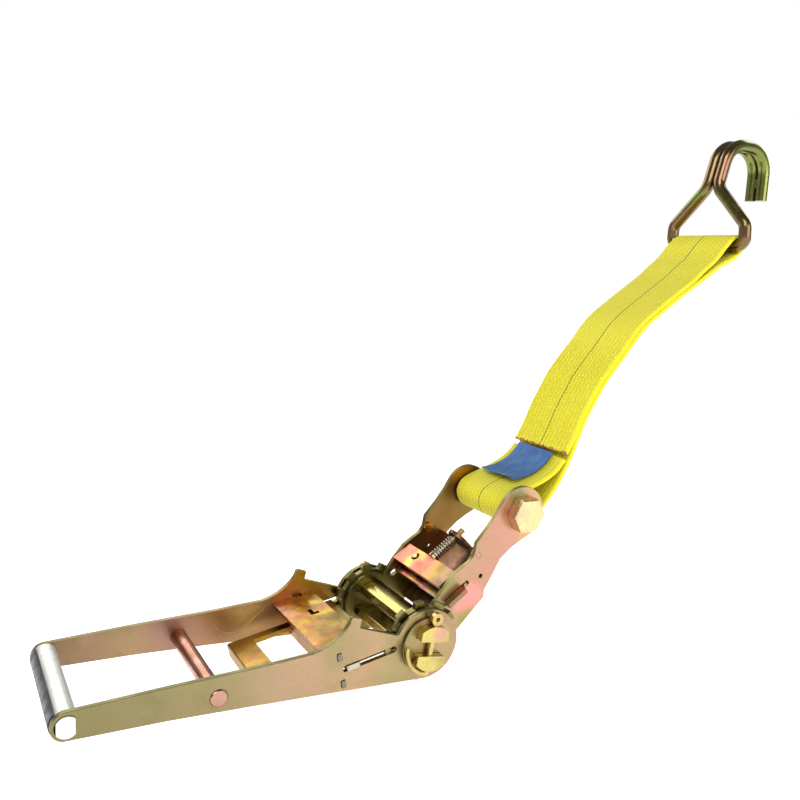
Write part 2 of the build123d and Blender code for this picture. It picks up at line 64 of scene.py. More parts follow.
# ------------------------------------------------------------------ camera
cam_data = bpy.data.cameras.new("camera")
cam = bpy.data.objects.new("camera", cam_data)
scene.collection.objects.link(cam)
scene.camera = cam
cam_data.sensor_width = 36.0
cam_data.lens = 834.3443 * 36.0 / 800.0
cam_data.clip_start, cam_data.clip_end = 0.01, 50.0
right = Vector((0.870, -0.491, 0.047)).normalized()
ahead = Vector((0.491, 0.857, -0.157))
ahead = (ahead - right * ahead.dot(right)).normalized()
up = right.cross(ahead)
cam.matrix_world = Matrix(
    ((right.x, up.x, -ahead.x, -0.2300153),
     (right.y, up.y, -ahead.y, -0.3969015),
     (right.z, up.z, -ahead.z, 0.2007555),
     (0, 0, 0, 1)))

# ------------------------------------------------------------------ helpers


def lin(r, g, b, a=1.0):
    """An 8-bit colour as linear numbers."""
    out = []
    for c in (r, g, b):
        c = c / 255.0
        out.append(c / 12.92 if c <= 0.04045 else ((c + 0.055) / 1.055) ** 2.4)
    return (*out, a)


class Nodes:
    """Short calls for building one material's nodes."""

    def __init__(self, name, **values):
        self.mat = bpy.data.materials.new(name)
        self.mat.use_nodes = True
        self.t = self.mat.node_tree
        self.t.nodes.clear()
        self.out = self.t.nodes.new("ShaderNodeOutputMaterial")
        self.bsdf = self.t.nodes.new("ShaderNodeBsdfPrincipled")
        self.t.links.new(self.bsdf.outputs[0], self.out.inputs[0])
        for k, v in values.items():
            self.bsdf.inputs[k.replace("_", " ")].default_value = v

    def put(self, socket, value):
        if hasattr(value, "is_linked") or isinstance(value, bpy.types.NodeSocket):
            self.t.links.new(value, socket)
        else:
            socket.default_value = value

    def node(self, kind, **props):
        n = self.t.nodes.new("ShaderNode" + kind)
        for k, v in props.items():
            setattr(n, k, v)
        return n

    def coord(self, which="Object"):
        return self.node("TexCoord").outputs[which]

    def mapped(self, vec, loc=(0, 0, 0), rot=(0, 0, 0), scale=(1, 1, 1)):
        n = self.node("Mapping")
        self.put(n.inputs["Vector"], vec)
        n.inputs["Location"].default_value = loc
        n.inputs["Rotation"].default_value = rot
        n.inputs["Scale"].default_value = scale
        return n.outputs[0]

    def noise(self, vec, scale, detail=2.0, rough=0.5, distortion=0.0, out="Fac"):
        n = self.node("TexNoise")
        self.put(n.inputs["Vector"], vec)
        n.inputs["Scale"].default_value = scale
        n.inputs["Detail"].default_value = detail
        n.inputs["Roughness"].default_value = rough
        n.inputs["Distortion"].default_value = distortion
        return n.outputs[out]

    def math(self, op, a, b=0.0, c=None, clamp=False):
        n = self.node("Math", operation=op, use_clamp=clamp)
        self.put(n.inputs[0], a)
        self.put(n.inputs[1], b)
        if c is not None:
            self.put(n.inputs[2], c)
        return n.outputs[0]

    def span(self, value, a, b, c=0.0, d=1.0, smooth=True):
        n = self.node("MapRange")
        n.interpolation_type = "SMOOTHSTEP" if smooth else "LINEAR"
        self.put(n.inputs["Value"], value)
        n.inputs["From Min"].default_value = a
        n.inputs["From Max"].default_value = b
        n.inputs["To Min"].default_value = c
        n.inputs["To Max"].default_value = d
        return n.outputs[0]

    def mix(self, fac, a, b, blend="MIX"):
        n = self.node("Mix", data_type="RGBA", blend_type=blend)
        self.put(n.inputs[0], fac)
        self.put(n.inputs[6], a)
        self.put(n.inputs[7], b)
        return n.outputs[2]

    def ramp(self, fac, stops, ease="B_SPLINE"):
        n = self.node("ValToRGB")
        r = n.color_ramp
        r.interpolation = ease
        while len(r.elements) < len(stops):
            r.elements.new(0.5)
        for e, (p, c) in zip(r.elements, stops):
            e.position, e.color = p, c
        self.put(n.inputs[0], fac)
        return n.outputs[0]

    def xyz(self, vec):
        n = self.node("SeparateXYZ")
        self.put(n.inputs[0], vec)
        return n.outputs

    def away(self, vec, point):
        n = self.node("VectorMath", operation="DISTANCE")
        self.put(n.inputs[0], vec)
        n.inputs[1].default_value = point
        return n.outputs["Value"]

    def bump(self, height, strength, distance):
        n = self.node("Bump")
        n.inputs["Strength"].default_value = strength
        n.inputs["Distance"].default_value = distance
        self.put(n.inputs["Height"], height)
        self.put(self.bsdf.inputs["Normal"], n.outputs[0])
        return n.outputs[0]


def dull(*c):
    """A handled, slightly tarnished plate: the same hue, a little deeper."""
    return lin(*(0.92 * v for v in c))


def zinc(name, stops, tints, patches=(), seed=0.0, axis="x", rough=(0.27, 0.44),
         rim=(126, 122, 72), amount=0.55, grain=(1, 1, 1), metallic=1.0):
    """Yellow passivated zinc: stops are (place along the axis in mm, colour), tints are the colours of the iridescent clouds,
    patches are (centre in mm, inner and outer radius in mm, colour, strength), rim is the colour of the sheared edges."""
    m = Nodes(name, Metallic=metallic)
    p = m.coord()
    warp = m.noise(m.mapped(p, loc=(seed, seed * 0.7, -seed)), 34, 3.0, 0.55, 0.6)
    line = m.math("MULTIPLY_ADD", m.math("SUBTRACT", warp, 0.5), 0.035, m.xyz(p)["XYZ".index(axis.upper())])
    lo, hi = stops[0][0] * MM, stops[-1][0] * MM
    t = m.span(line, lo, hi, smooth=False)
    col = m.ramp(t, [((s * MM - lo) / (hi - lo), dull(*c)) for s, c in stops], "LINEAR")
    # iridescent clouds
    for k, (c, scale, low, high, strength) in enumerate(tints):
        n = m.noise(m.mapped(p, loc=(seed + 3.1 * k, 1.7 * k - seed, 0.9 * k), scale=grain), scale, 3.5, 0.58, 0.9)
        col = m.mix(m.span(n, low, high, 0.0, strength), col, dull(*c))
    for c, r0, r1, colour, strength in patches:
        d = m.away(p, [x * MM for x in c])
        d = m.math("MULTIPLY_ADD", m.math("SUBTRACT", warp, 0.5), (r1 - r0) * MM * 1.2, d)
        col = m.mix(m.span(d, r0 * MM, r1 * MM, strength, 0.0), col, dull(*colour))
    # fine speckle of the passivate
    speck = m.noise(p, 900, 2.0, 0.6)
    col = m.mix(m.span(speck, 0.45, 0.75, 0.0, 0.16), col, lin(96, 84, 52))
    if rim:
        facing = m.math("ABSOLUTE", m.xyz(m.coord("Normal"))[1])
        col = m.mix(m.span(facing, 0.75, 0.97, 0.75, 0.0), col, dull(*rim))
    m.put(m.bsdf.inputs["Base Color"], col)
    # rolled surface: roughness clouds, faint drawing lines and pits
    lines = m.noise(m.mapped(p, rot=(0, 0.12, 0), scale=(14, 60, 520)), 1.0, 3.0, 0.6)
    cloud = m.noise(m.mapped(p, loc=(seed, 2, 3)), 60, 4.0, 0.6)
    blend = m.math("MULTIPLY_ADD", lines, 0.35, m.math("MULTIPLY", cloud, 0.65))
    m.put(m.bsdf.inputs["Roughness"], m.span(blend, 0.32, 0.68, rough[0], rough[1]))
    pits = m.noise(p, 420, 3.0, 0.6)
    m.bump(m.math("MULTIPLY_ADD", pits, 0.6, m.math("MULTIPLY", lines, 0.25)), 0.16, 0.0004)
    return m.mat


# ------------------------------------------------------------------ materials
OLIVE, GREEN, PINK, GOLD, MAUVE = (118, 112, 66), (128, 138, 70), (196, 142, 122), (206, 164, 66), (168, 134, 116)

near_handle = zinc(
    "zinc_handle_near",
    [(-192, (134, 124, 86)), (-150, (140, 129, 90)), (-110, (152, 138, 98)), (-85, (176, 148, 118)),
     (-45, (186, 152, 118)), (-20, (164, 148, 106)), (4, (160, 136, 100)), (20, (178, 142, 116))],
    [(GREEN, 26, 0.5, 0.72, 0.35), (PINK, 20, 0.55, 0.75, 0.35), (OLIVE, 48, 0.55, 0.8, 0.35)],
    [((-52, -38, 8), 4, 20, (150, 140, 98), 0.6), ((2, -38, -13), 4, 14, (188, 144, 122), 0.6)],
    seed=1.3, rim=(122, 118, 66))
far_handle = zinc(
    "zinc_handle_far",
    [(-192, (128, 104, 80)), (-160, (154, 126, 96)), (-140, (166, 140, 102)), (-118, (172, 134, 118)),
     (-96, (188, 142, 98)), (-80, (198, 160, 98)), (-64, (160, 120, 80)), (-50, (206, 146, 88)),
     (-36, (202, 150, 60)), (-12, (130, 110, 62)), (20, (128, 112, 64))],
    [(MAUVE, 26, 0.52, 0.72, 0.4), (GOLD, 22, 0.58, 0.74, 0.4), (OLIVE, 40, 0.55, 0.78, 0.3)],
    [((-43, 35, 22), 5, 15, (214, 168, 44), 0.8), ((-52, 35, 12), 3, 12, (196, 122, 66), 0.6)],
    seed=5.1, rim=(132, 120, 66))
bracket_zinc = zinc(
    "zinc_bracket",
    [(-60, (172, 112, 76)), (-50, (160, 118, 50)), (-42, (134, 106, 36)), (-30, (148, 122, 56))],
    [((190, 150, 34), 60, 0.47, 0.62, 0.8), ((166, 96, 66), 40, 0.52, 0.66, 0.75), ((84, 78, 44), 80, 0.52, 0.7, 0.5)],
    [((-52.1, -38.5, 2.8), 2, 4.5, (122, 122, 110), 0.95), ((-49.3, -38.5, -12.4), 2, 4.5, (122, 122, 110), 0.95)],
    seed=2.2, rim=None, rough=(0.22, 0.4))
drive_zinc = zinc(
    "zinc_drive_pawl",
    [(-92, (166, 132, 52)), (-70, (158, 124, 56)), (-40, (142, 114, 52)), (-20, (116, 100, 54))],
    [((190, 150, 36), 50, 0.47, 0.64, 0.7), ((160, 100, 68), 40, 0.54, 0.68, 0.65), ((96, 100, 50), 70, 0.54, 0.72, 0.5)],
    [((-86, -24, -8), 4, 14, (158, 148, 66), 0.5), ((-44, -38.7, -4), 2, 6, (196, 192, 178), 0.9)],
    seed=3.7, rim=None, rough=(0.22, 0.4))
rod_zinc = zinc(
    "zinc_rod",
    [(-120, (176, 120, 92)), (-110, (190, 146, 128))],
    [((206, 162, 150), 70, 0.5, 0.7, 0.6), ((150, 92, 58), 40, 0.5, 0.72, 0.6)],
    [((-115, 34, -5), 3, 22, (140, 84, 52), 0.8)],
    seed=4.4, rim=None, rough=(0.2, 0.34))
frame_near = zinc(
    "zinc_frame_near",
    [(-18, (150, 138, 92)), (0, (160, 140, 98)), (24, (176, 148, 112)), (46, (194, 144, 124)),
     (66, (198, 148, 124)), (80, (204, 172, 108))],
    [((206, 150, 134), 26, 0.48, 0.7, 0.45), (GOLD, 30, 0.6, 0.76, 0.3), (GREEN, 40, 0.6, 0.78, 0.3)],
    [((30.5, -29.3, 17.5), 5, 13, (240, 150, 148), 0.85), ((33, -29.3, 4), 3, 13, (136, 146, 66), 0.8),
     ((18, -29.3, 26), 2, 10, (150, 150, 92), 0.6), ((52, -29.3, 14), 2, 9, (126, 142, 66), 0.5),
     ((72, -29.3, 57), 4, 13, (208, 176, 96), 0.6), ((62, -29.3, 76), 2, 9, (120, 148, 92), 0.6)],
    seed=6.6, rim=(134, 136, 72))
frame_far = zinc(
    "zinc_frame_far",
    [(-18, (116, 108, 58)), (16, (120, 110, 62)), (36, (132, 104, 58)), (54, (124, 92, 48)), (80, (136, 118, 60))],
    [((112, 84, 66), 30, 0.5, 0.7, 0.5), (OLIVE, 40, 0.5, 0.72, 0.4), ((150, 108, 84), 26, 0.56, 0.74, 0.4)],
    [((37.3, 26.3, 42.3), 3, 6, (170, 112, 34), 0.7), ((60, 26.3, 76), 3, 12, (206, 140, 34), 0.8)],
    seed=7.9, rim=(104, 96, 52))
# painted shade: the bridge's colours are all dark browns, the tone of the plate where it lies in shadow under the lock
# pawl
bridge_shaded_zinc = zinc(
    "zinc_bridge_painted_shade",
    [(0, (88, 74, 48)), (24, (96, 76, 50)), (36, (120, 82, 62)), (60, (124, 100, 62))],
    [((176, 124, 108), 50, 0.5, 0.7, 0.6), (OLIVE, 60, 0.5, 0.72, 0.5)],
    seed=8.3, rim=None)
lock_zinc = Nodes("zinc_lock_pawl", Metallic=1.0)
_m = lock_zinc
_p = _m.coord()
_w = _m.noise(_m.mapped(_p, loc=(3, 1, 2)), 60, 3, 0.55, 0.8)
_y = _m.math("MULTIPLY_ADD", _m.math("SUBTRACT", _w, 0.5), 0.02, _m.xyz(_p)[1])
_c = _m.ramp(_m.span(_y, -0.03, 0.03, smooth=False),
             [(0.0, lin(132, 108, 82)), (0.16, lin(148, 118, 88)), (0.30, lin(160, 130, 62)), (0.42, lin(176, 122, 88)),
              (0.55, lin(184, 110, 92)), (0.66, lin(214, 168, 78)), (0.78, lin(206, 118, 92)), (1.0, lin(202, 118, 96))], "LINEAR")
_c = _m.mix(_m.span(_m.noise(_p, 55, 3, 0.6, 1.0), 0.5, 0.66, 0.0, 0.55), _c, lin(190, 96, 92))
_c = _m.mix(_m.span(_m.noise(_p, 900, 2, 0.6), 0.5, 0.75, 0.0, 0.15), _c, lin(120, 86, 60))
_m.put(_m.bsdf.inputs["Base Color"], _c)
_m.put(_m.bsdf.inputs["Roughness"], _m.span(_m.noise(_p, 90, 4, 0.6), 0.35, 0.7, 0.24, 0.42))
_m.bump(_m.noise(_p, 420, 3, 0.6), 0.12, 0.0004)
wheel_zinc = zinc(
    "zinc_wheel",
    [(-25, (122, 114, 66)), (0, (134, 124, 72)), (25, (122, 114, 64))],
    [((160, 140, 98), 70, 0.5, 0.7, 0.5), (GREEN, 90, 0.55, 0.75, 0.5), ((92, 84, 48), 60, 0.5, 0.7, 0.5)],
    seed=9.2, rim=None, rough=(0.26, 0.42))
mandrel_zinc = zinc(
    "zinc_mandrel",
    [(-12, (196, 180, 106)), (0, (206, 190, 112)), (12, (180, 160, 104))],
    [((226, 210, 96), 50, 0.5, 0.7, 0.5), ((132, 122, 72), 60, 0.54, 0.74, 0.5), ((190, 150, 120), 44, 0.56, 0.74, 0.4)],
    [((4, -45, 8), 2, 9, (206, 156, 134), 0.9)],
    seed=10.1, rim=None, rough=(0.2, 0.36))
bolt_zinc = zinc(
    "zinc_bolt",
    [(50, (214, 178, 150)), (66, (226, 206, 150)), (80, (220, 200, 140))],
    [((236, 226, 150), 80, 0.5, 0.7, 0.6), ((206, 150, 130), 60, 0.54, 0.74, 0.5)],
    seed=11.3, rim=None, rough=(0.16, 0.3))
washer_zinc = zinc(
    "zinc_washer",
    [(-16, (150, 140, 88)), (0, (176, 148, 116)), (16, (168, 150, 100))],
    [(GREEN, 60, 0.52, 0.74, 0.4), (PINK, 60, 0.52, 0.74, 0.4)],
    seed=12.3, rim=None, rough=(0.24, 0.4))
pin_zinc = zinc(
    "zinc_pin",
    [(-16, (190, 172, 104)), (0, (206, 180, 110)), (16, (190, 160, 110))],
    [((226, 200, 110), 120, 0.5, 0.7, 0.6), ((150, 120, 70), 100, 0.55, 0.75, 0.5)],
    seed=13.7, rim=None, rough=(0.18, 0.32))
rivet_zinc = zinc(
    "zinc_rivet",
    [(30, (180, 134, 76)), (60, (186, 140, 84))],
    [((212, 140, 40), 80, 0.45, 0.65, 0.7)],
    [((37.3, 26, 42.3), 2, 8, (216, 140, 30), 0.8), ((37.3, -29.3, 42.3), 3, 6, (196, 148, 124), 0.97)],
    seed=14.9, rim=None, rough=(0.2, 0.34))
hook_zinc = zinc(
    "zinc_hook",
    [(220, (116, 94, 62)), (240, (130, 110, 74)), (260, (124, 120, 70)), (280, (128, 138, 70))],
    [((112, 126, 60), 46, 0.5, 0.64, 0.75), ((140, 96, 82), 38, 0.52, 0.66, 0.6), ((186, 170, 100), 60, 0.58, 0.72, 0.5)],
    seed=15.2, rim=None, rough=(0.13, 0.26))

# bright zinc: brushed grip tube, springs
brushed = Nodes("brushed_zinc", Metallic=1.0)
_m = brushed
_p = _m.coord()
_l = _m.noise(_m.mapped(_p, scale=(900, 22, 900)), 1.0, 4.0, 0.6)
_s = _m.noise(_p, 500, 3, 0.65)
_c = _m.mix(_m.span(_l, 0.3, 0.7), lin(206, 206, 198), lin(232, 232, 226))
_c = _m.mix(_m.span(_s, 0.52, 0.8, 0.0, 0.35), _c, lin(150, 150, 142))
_c = _m.mix(_m.span(_m.noise(_p, 40, 2, 0.5), 0.5, 0.75, 0.0, 0.25), _c, lin(196, 198, 180))
_m.put(_m.bsdf.inputs["Base Color"], _c)
_m.put(_m.bsdf.inputs["Roughness"], _m.span(_m.math("ADD", _m.math("MULTIPLY", _l, 0.5), _m.math("MULTIPLY", _s, 0.5)), 0.3, 0.7, 0.36, 0.55))
_m.bump(_m.math("ADD", _m.math("MULTIPLY", _l, 0.5), _m.math("MULTIPLY", _s, 0.6)), 0.22, 0.0004)

spring_steel = Nodes("spring_steel", Metallic=1.0)
_m = spring_steel
_p = _m.coord()
_m.put(_m.bsdf.inputs["Base Color"], _m.mix(_m.span(_m.noise(_p, 700, 3, 0.6), 0.4, 0.7), lin(204, 202, 192), lin(150, 146, 130)))
_m.put(_m.bsdf.inputs["Roughness"], _m.span(_m.noise(_p, 300, 3, 0.6), 0.3, 0.7, 0.2, 0.38))
_m.bump(_m.noise(_p, 1200, 2, 0.5), 0.1, 0.0002)

black_grip = Nodes("black_grip", Specular_IOR_Level=0.45)
_m = black_grip
_p = _m.coord()
_c = _m.mix(_m.span(_m.noise(_p, 260, 4, 0.6), 0.42, 0.72), lin(38, 38, 40), lin(62, 64, 66))
_c = _m.mix(_m.span(_m.noise(_m.mapped(_p, scale=(60, 900, 900)), 1.0, 3, 0.5), 0.62, 0.8, 0.0, 0.4), _c, lin(112, 112, 112))
_m.put(_m.bsdf.inputs["Base Color"], _c)
_m.put(_m.bsdf.inputs["Roughness"], _m.span(_m.noise(_p, 180, 3, 0.6), 0.35, 0.7, 0.34, 0.55))
_m.bump(_m.noise(_p, 1500, 3, 0.6), 0.25, 0.0003)


# webbing: UV holds the place across and along the strap in widths of 50 mm
def web_material(name, tone=1.0):
    m = Nodes(name, Specular_IOR_Level=0.28, Sheen_Weight=0.18, Sheen_Roughness=0.4)
    uv = m.xyz(m.coord("UV"))
    u = m.math("MULTIPLY", m.math("SUBTRACT", uv[0], 0.5), 50.0)
    v = m.math("MULTIPLY", uv[1], 50.0)
    cell = m.math("DIVIDE", u, 3.1)
    across = m.math("ABSOLUTE", m.math("SUBTRACT", m.math("FRACT", cell), 0.5))  # 0 mid cord, 0.5 between cords
    parity = m.math("MULTIPLY", m.math("FLOOR", m.math("MULTIPLY", m.math("FRACT", m.math("MULTIPLY", cell, 0.5)), 2.0)), 0.5)
    along = m.math("ABSOLUTE", m.math("SUBTRACT", m.math("FRACT", m.math("ADD", m.math("DIVIDE", v, 1.24), parity)), 0.5))
    yarn = m.math("MULTIPLY", m.span(across, 0.5, 0.18), m.span(along, 0.5, 0.12))
    band = m.noise(m.mapped(m.coord("UV"), scale=(3.0, 14.0, 1.0)), 1.0, 2.0, 0.5)
    wear = m.noise(m.coord(), 130, 3.0, 0.6)
    fibre = m.noise(m.mapped(m.coord("UV"), scale=(420.0, 46.0, 1.0)), 1.0, 2.0, 0.6)
    # painted shade and highlight: the yarn ramp gives the gaps between the cords the shadow-side yellow (low) and the
    # cord tops the lit yellow (hi)
    hi, mid, low = (236, 229, 60), (229, 221, 48), (203, 191, 34)
    col = m.ramp(yarn, [(0.0, lin(*low)), (0.35, lin(*mid)), (1.0, lin(*hi))], "LINEAR")
    col = m.mix(m.span(band, 0.35, 0.65, 0.0, 0.28), col, lin(222, 212, 40))
    col = m.mix(m.span(wear, 0.55, 0.8, 0.0, 0.25), col, lin(240, 236, 96))
    col = m.mix(m.span(fibre, 0.5, 0.8, 0.0, 0.18), col, lin(206, 192, 30))
    # selvage
    side = m.math("ABSOLUTE", u)
    col = m.mix(m.span(side, 23.6, 24.4, 0.0, 0.6), col, lin(236, 214, 30))
    # centre marker yarn: short dark floats
    dash = m.math("ABSOLUTE", m.math("SUBTRACT", m.math("FRACT", m.math("DIVIDE", v, 2.48)), 0.5))
    line = m.math("MULTIPLY", m.span(side, 0.62, 0.38), m.span(dash, 0.42, 0.34, 0.25, 1.0))
    col = m.mix(m.math("MULTIPLY", line, 0.85), col, lin(104, 88, 26))
    m.put(m.bsdf.inputs["Base Color"], col)
    m.put(m.bsdf.inputs["Roughness"], m.span(yarn, 0.0, 1.0, 0.78, 0.5))
    h = m.math("MULTIPLY_ADD", fibre, 0.25, yarn)
    m.bump(h, 0.55, 0.00022)
    return m.mat


web_mat = web_material("webbing_yellow")

thread_mat = Nodes("stitch_thread", Specular_IOR_Level=0.3, Sheen_Weight=0.2)
_m = thread_mat
_p = _m.coord()
_m.put(_m.bsdf.inputs["Base Color"], _m.mix(_m.span(_m.noise(_p, 900, 2, 0.6), 0.35, 0.7), lin(238, 230, 70), lin(212, 200, 36)))
_m.put(_m.bsdf.inputs["Roughness"], _m.span(_m.noise(_p, 1500, 2, 0.6), 0.3, 0.7, 0.45, 0.7))
_m.bump(_m.noise(_m.mapped(_p, scale=(2400, 2400, 2400)), 1.0, 2, 0.5), 0.4, 0.0002)

sear_mat = Nodes("cut_end", Specular_IOR_Level=0.4)
_m = sear_mat
_p = _m.coord()
_m.put(_m.bsdf.inputs["Base Color"], _m.mix(_m.span(_m.noise(_p, 500, 3, 0.6), 0.35, 0.65), lin(176, 128, 30), lin(128, 78, 22)))
_m.put(_m.bsdf.inputs["Roughness"], _m.span(_m.noise(_p, 700, 3, 0.6), 0.3, 0.7, 0.35, 0.6))
_m.bump(_m.noise(_p, 1100, 3, 0.6), 0.5, 0.0003)

label_mat = Nodes("label_blue", Specular_IOR_Level=0.35, Sheen_Weight=0.1)
_m = label_mat
_p = _m.coord("UV")
_o = _m.coord()
_c = _m.ramp(_m.noise(_m.mapped(_p, scale=(5, 4, 1)), 1.0, 4, 0.65, 0.6),
             [(0.3, lin(14, 70, 134)), (0.5, lin(24, 88, 152)), (0.7, lin(54, 112, 160))], "LINEAR")
_c = _m.mix(_m.span(_m.noise(_m.mapped(_p, scale=(46, 16, 1)), 1.0, 3, 0.7), 0.56, 0.72, 0.0, 0.5), _c, lin(18, 66, 124))
_w = _m.noise(_m.mapped(_p, scale=(180, 170, 1)), 1.0, 2, 0.5)
_c = _m.mix(_m.span(_w, 0.45, 0.75, 0.0, 0.3), _c, lin(96, 148, 190))
_m.put(_m.bsdf.inputs["Base Color"], _c)
_m.put(_m.bsdf.inputs["Roughness"], _m.span(_w, 0.3, 0.7, 0.42, 0.62))
_m.bump(_m.math("MULTIPLY_ADD", _m.noise(_o, 160, 3, 0.6), 0.6, _m.math("MULTIPLY", _w, 0.4)), 0.35, 0.0003)

# ------------------------------------------------------------------ CAD pieces: soft edges and materials
merge = bpy.data.node_groups.new("smooth_faces", "GeometryNodeTree")
merge.interface.new_socket("Geometry", in_out="INPUT", socket_type="NodeSocketGeometry")
merge.interface.new_socket("Geometry", in_out="OUTPUT", socket_type="NodeSocketGeometry")
gi, go = merge.nodes.new("NodeGroupInput"), merge.nodes.new("NodeGroupOutput")
weld = merge.nodes.new("GeometryNodeMergeByDistance")
weld.inputs["Distance"].default_value = 0.000004
drop = merge.nodes.new("GeometryNodeRemoveAttribute")
drop.inputs["Name"].default_value = "custom_normal"
smooth = merge.nodes.new("GeometryNodeSetShadeSmooth")
merge.links.new(gi.outputs[0], weld.inputs["Geometry"])
merge.links.new(weld.outputs[0], drop.inputs["Geometry"])
merge.links.new(drop.outputs[0], smooth.inputs["Geometry"])
merge.links.new(smooth.outputs[0], go.inputs[0])


def refine(name, width, segments=2):
    """Sheared or machined edges: welds the tessellation, rounds the sharp edges and shades them."""
    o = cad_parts[name]
    o.modifiers.new("smooth", "NODES").node_group = merge
    flat = o.modifiers.new("flat", "DECIMATE")
    flat.decimate_type = "DISSOLVE"
    flat.angle_limit = math.radians(0.4)
    b = o.modifiers.new("edge", "BEVEL")
    b.width, b.segments = width * MM, segments
    b.limit_method, b.angle_limit = "ANGLE", math.radians(38)
    b.miter_outer = "MITER_ARC"
    b.use_clamp_overlap = True
    b.harden_normals = False
    w = o.modifiers.new("normals", "WEIGHTED_NORMAL")
    w.mode, w.weight, w.keep_sharp = "FACE_AREA", 60, False


def paint(name, mat):
    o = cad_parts[name]
    for s in o.material_slots:
        s.material = getattr(mat, "mat", mat)


for names, mat, width in (
    (("handle_plate_left",), near_handle, 0.45),
    (("handle_plate_right",), far_handle, 0.45),
    (("frame_plate_left",), frame_near, 0.45),
    (("frame_plate_right",), frame_far, 0.45),
    (("handle_bracket",), bracket_zinc, 0.4),
    (("drive_pawl",), drive_zinc, 0.35),
    (("lock_pawl",), lock_zinc, 0.35),
    (("frame_bridge",), bridge_shaded_zinc, 0.35),
    (("ratchet_wheel_left", "ratchet_wheel_right"), wheel_zinc, 0.35),
    (("spindle_half_upper", "spindle_half_lower"), mandrel_zinc, 0.0),
    (("spindle_washer_left", "spindle_washer_right"), washer_zinc, 0.25),
    (("cotter_pin_left", "cotter_pin_right", "lock_pawl_pin", "lock_guide_rod"), pin_zinc, 0.0),
    (("anchor_bolt", "anchor_nut"), bolt_zinc, 0.4),
    (("frame_rivets",), rivet_zinc, 0.25),
    (("cross_rod",), rod_zinc, 0.2),
    (("hook_wire", "hook_weld"), hook_zinc, 0.0),
    (("grip_bar",), brushed, 0.35),
    (("grip_cover",), black_grip, 0.35),
    (("lock_pawl_spring", "drive_pawl_springs"), spring_steel, 0.0),
):
    for n in names:
        paint(n, mat)
        if width:
            refine(n, width)

# ------------------------------------------------------------------ mesh helpers


def add_mesh(name, verts, faces, mat, body, uvs=None, smooth=True):
    me = bpy.data.meshes.new(name)
    me.from_pydata([tuple(v) for v in verts], [], [tuple(f) for f in faces])
    if uvs is not None:
        layer = me.uv_layers.new(name="UVMap")
        idx = np.empty(len(me.loops), int)
        me.loops.foreach_get("vertex_index", idx)
        layer.data.foreach_set("uv", np.asarray(uvs, float)[idx].astype(np.float32).ravel())
    me.polygons.foreach_set("use_smooth", [smooth] * len(me.polygons))
    me.materials.append(getattr(mat, "mat", mat))
    me.validate()
    me.update()
    o = bpy.data.objects.new(name, me)
    scene.collection.objects.link(o)
    if body:
        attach(o, body)
    return o


def curve_through(points, step):
    """A smooth line through points (any dimension), resampled about step apart."""
    p = np.array(points, float)
    p = np.vstack([2 * p[0] - p[1], p, 2 * p[-1] - p[-2]])
    out = []
    for i in range(1, len(p) - 2):
        a, b, c, d = p[i - 1:i + 3]
        k = [0.0]
        for q, r in ((a, b), (b, c), (c, d)):
            k.append(k[-1] + max(np.linalg.norm(r - q), 1e-9) ** 0.5)
        for t in np.linspace(k[1], k[2], 24, endpoint=False):
            A1 = (k[1] - t) / (k[1] - k[0]) * a + (t - k[0]) / (k[1] - k[0]) * b
            A2 = (k[2] - t) / (k[2] - k[1]) * b + (t - k[1]) / (k[2] - k[1]) * c
            A3 = (k[3] - t) / (k[3] - k[2]) * c + (t - k[2]) / (k[3] - k[2]) * d
            B1 = (k[2] - t) / (k[2] - k[0]) * A1 + (t - k[0]) / (k[2] - k[0]) * A2
            B2 = (k[3] - t) / (k[3] - k[1]) * A2 + (t - k[1]) / (k[3] - k[1]) * A3
            out.append((k[2] - t) / (k[2] - k[1]) * B1 + (t - k[1]) / (k[2] - k[1]) * B2)
    out.append(p[-2])
    out = np.array(out)
    # a light smoothing, ends held
    for _ in range(30):
        out[1:-1] = 0.5 * out[1:-1] + 0.25 * (out[:-2] + out[2:])
    d = np.concatenate([[0], np.cumsum(np.linalg.norm(np.diff(out, axis=0), axis=1))])
    n = max(2, int(round(d[-1] / step)) + 1)
    at = np.linspace(0, d[-1], n)
    return np.stack([np.interp(at, d, out[:, k]) for k in range(out.shape[1])], axis=1)


def tube(name, line, radius, mat, body, sides=10, caps=True):
    """A round wire along a 3-D line in mm."""
    line = np.asarray(line, float)
    t = np.gradient(line, axis=0)
    t /= np.linalg.norm(t, axis=1)[:, None]
    ref = np.array([0.0, 1.0, 0.0]) if abs(t[0][1]) < 0.9 else np.array([1.0, 0, 0])
    n = np.cross(t[0], ref)
    n /= np.linalg.norm(n)
    r = np.broadcast_to(np.asarray(radius, float), (len(line),))
    verts, faces = [], []
    for i in range(len(line)):
        n = n - t[i] * (n @ t[i])
        n /= np.linalg.norm(n)
        b = np.cross(t[i], n)
        for k in range(sides):
            a = 2 * math.pi * k / sides
            verts.append((line[i] + r[i] * (math.cos(a) * n + math.sin(a) * b)) * MM)
    for i in range(len(line) - 1):
        for k in range(sides):
            k2 = (k + 1) % sides
            faces.append((i * sides + k, i * sides + k2, (i + 1) * sides + k2, (i + 1) * sides + k))
    if caps:
        faces.append(tuple(range(sides))[::-1])
        faces.append(tuple((len(line) - 1) * sides + k for k in range(sides)))
    return verts, faces


